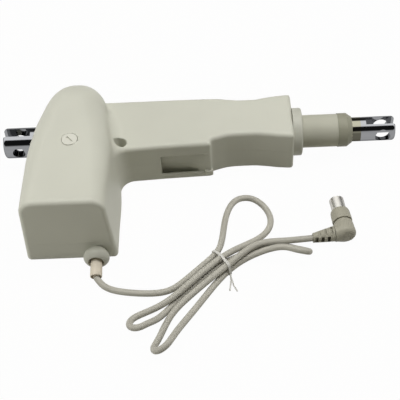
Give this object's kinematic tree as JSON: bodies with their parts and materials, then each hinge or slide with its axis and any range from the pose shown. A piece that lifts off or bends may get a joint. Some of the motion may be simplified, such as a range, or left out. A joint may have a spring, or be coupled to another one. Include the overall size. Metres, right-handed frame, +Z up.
{
  "type": "linear actuator",
  "caption": "Electric linear actuator: motor column set across a lead-screw housing, sliding rod in a guide tube, clevis eyes at both ends, and a coiled cord with an elbow plug.",
  "frame": {"origin": "centre of the rear pin hole, on the spindle axis", "axes": "+X along the stroke towards the front clevis, +Y along the pin holes towards the dome end of the motor column, +Z up from the face that it lies on"},
  "size_m": [0.323, 0.2385, 0.068],
  "materials": {
    "casing_plastic": "fine satin texture",
    "cap_plastic": "satin",
    "gear_plastic": "satin",
    "dark_plastic": "satin",
    "chrome": "polished",
    "steel": "turned",
    "aluminium": "satin drawn",
    "bronze": "turned",
    "copper": "drawn",
    "rubber": "matte",
    "magnet": "sintered",
    "board": "solder mask",
    "relief": "matte",
    "cord_jacket": "satin",
    "tie_plastic": "satin",
    "plug_plastic": "satin"
  },
  "bodies": {
    "casing": {"upper_shell": "casing_plastic", "lower_shell": "casing_plastic", "top_screw": "steel", "cover_screws": "steel", "slotted_plug": "casing_plastic", "tube_collar": "casing_plastic", "outer_tube": "aluminium", "tube_cap": "cap_plastic", "rod_wiper": "rubber", "guide_bush": "gear_plastic", "bearing_outer_ring": "steel", "bearing_balls": "steel", "rear_clevis": "chrome", "spindle_bush": "bronze", "motor_can": "steel", "motor_end_cap": "dark_plastic", "motor_magnets": "magnet", "motor_front_bush": "bronze", "motor_rear_bush": "bronze", "worm_end_bush": "bronze", "brushes": "magnet", "brush_holders": "bronze", "circuit_board": "board", "board_parts": "dark_plastic", "sensor_board": "board", "cable_gland": "casing_plastic", "gland_nut": "casing_plastic", "strain_relief": "relief", "cord": "cord_jacket", "cord_tie": "tie_plastic", "plug_relief": "plug_plastic", "plug_body": "plug_plastic", "plug_ring": "plug_plastic", "plug_shell": "chrome", "plug_insert": "dark_plastic", "plug_pins": "bronze"},
    "rotor": {"motor_shaft": "steel", "worm": "steel", "armature_core": "steel", "armature_windings": "copper", "commutator": "copper"},
    "spindle_train": {"spindle": "steel", "worm_wheel": "gear_plastic", "magnet_ring": "magnet", "bearing_inner_ring": "steel", "end_stop_washer": "steel", "end_stop_screw": "steel"},
    "rod": {"piston_rod": "chrome", "front_clevis": "chrome", "spindle_nut": "gear_plastic"}
  },
  "joints": [
    {"name": "motor_spin", "type": "hinge", "parent": "casing", "child": "rotor", "pos_m": [0.0485, 0, 0.018], "axis": [0, -1, 0], "range_deg": [0, 144000]},
    {"name": "spindle_spin", "type": "hinge", "parent": "casing", "child": "spindle_train", "pos_m": [0, 0, 0], "axis": [-1, 0, 0], "range_deg": [0, 7200]},
    {"name": "rod_slide", "type": "slide", "parent": "casing", "child": "rod", "axis": [1, 0, 0], "range_m": [0, 0.12]}
  ],
  "couplings": [
    {"joint": "spindle_spin", "follows": "motor_spin", "ratio": 0.05},
    {"joint": "rod_slide", "follows": "motor_spin", "m_per_rad": 0.000047746}
  ]
}
